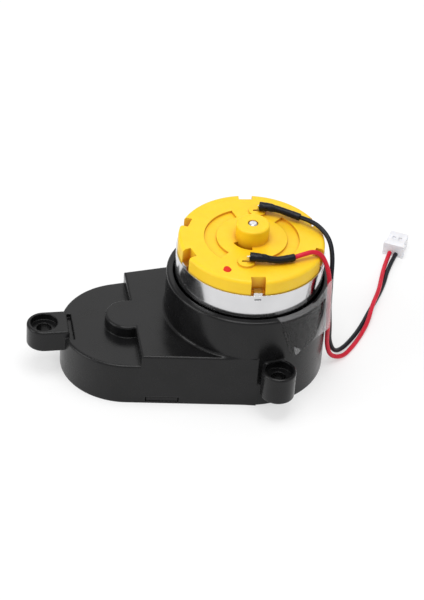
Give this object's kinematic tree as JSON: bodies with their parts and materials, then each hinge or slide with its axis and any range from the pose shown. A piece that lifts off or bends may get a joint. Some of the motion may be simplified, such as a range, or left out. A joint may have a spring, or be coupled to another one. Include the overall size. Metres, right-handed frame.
{
  "type": "geared dc motor",
  "caption": "Flat brushed DC motor in an offset plastic spur gearbox, with a square output socket, screw ears and a short two-wire lead ending in a plug.",
  "frame": {"origin": "centre of the square output socket's mouth, in the base plane", "axes": "+Z along the output axis, up from the base plane towards the motor's end cap; +X from the output axis to the motor's axis; +Y completes the right-handed frame"},
  "size_m": [0.0944, 0.0616, 0.0358],
  "materials": {
    "housing_plastic": "satin moulded ABS",
    "cover_plastic": "satin moulded ABS",
    "cap_plastic": "moulded, slightly glossy",
    "can_steel": "bright plated",
    "shaft_steel": "ground",
    "core_steel": "laminated",
    "winding_copper": "enamelled copper wire",
    "contact_metal": "tinned",
    "bush_bronze": "sintered bronze",
    "gear_plastic": "natural acetal",
    "drive_plastic": "black acetal",
    "magnet_ferrite": "sintered",
    "screw_steel": "zinc plated",
    "wire_red": "smooth PVC",
    "wire_black": "smooth PVC",
    "sleeve_black": "shrunk tube",
    "plug_plastic": "translucent white nylon",
    "clear_tape": "clear adhesive film"
  },
  "bodies": {
    "gearbox": {"upper_housing": "housing_plastic", "lower_cover": "cover_plastic", "cover_screws": "screw_steel", "motor_screws": "screw_steel", "first_gear_pin": "shaft_steel", "second_gear_pin": "shaft_steel", "output_bush_lower": "bush_bronze", "output_bush_upper": "bush_bronze", "output_washer": "shaft_steel", "motor_can": "can_steel", "motor_end_cap": "cap_plastic", "front_bearing": "bush_bronze", "rear_bearing": "bush_bronze", "magnets": "magnet_ferrite", "black_terminal": "contact_metal", "red_terminal": "contact_metal", "black_brush_arm": "contact_metal", "red_brush_arm": "contact_metal", "black_sleeve": "sleeve_black", "red_sleeve": "sleeve_black", "black_wire": "wire_black", "red_wire": "wire_red", "connector_housing": "plug_plastic", "connector_contacts": "contact_metal", "cover_tape": "clear_tape"},
    "rotor": {"motor_shaft": "shaft_steel", "armature_core": "core_steel", "armature_windings": "winding_copper", "commutator": "winding_copper", "thrust_washers": "gear_plastic", "motor_pinion": "contact_metal"},
    "first_gear": {"first_gear": "gear_plastic"},
    "second_gear": {"second_gear": "gear_plastic"},
    "output": {"output_shaft": "drive_plastic", "output_gear": "gear_plastic"}
  },
  "joints": [
    {"name": "rotor_spin", "type": "hinge", "parent": "gearbox", "child": "rotor", "pos_m": [0.026, 0, 0.02], "axis": [0, 0, 1], "continuous": true},
    {"name": "first_gear_spin", "type": "hinge", "parent": "gearbox", "child": "first_gear", "pos_m": [0.01638, 0.00449, 0.008], "axis": [0, 0, 1], "continuous": true},
    {"name": "second_gear_spin", "type": "hinge", "parent": "gearbox", "child": "second_gear", "pos_m": [0.01297, -0.00504, 0.005], "axis": [0, 0, 1], "continuous": true},
    {"name": "output_spin", "type": "hinge", "parent": "gearbox", "child": "output", "pos_m": [0, 0, 0.004], "axis": [0, 0, 1], "continuous": true}
  ],
  "couplings": [
    {"joint": "first_gear_spin", "follows": "rotor_spin", "ratio": -0.3125},
    {"joint": "second_gear_spin", "follows": "rotor_spin", "ratio": 0.10417},
    {"joint": "output_spin", "follows": "rotor_spin", "ratio": -0.028935}
  ]
}
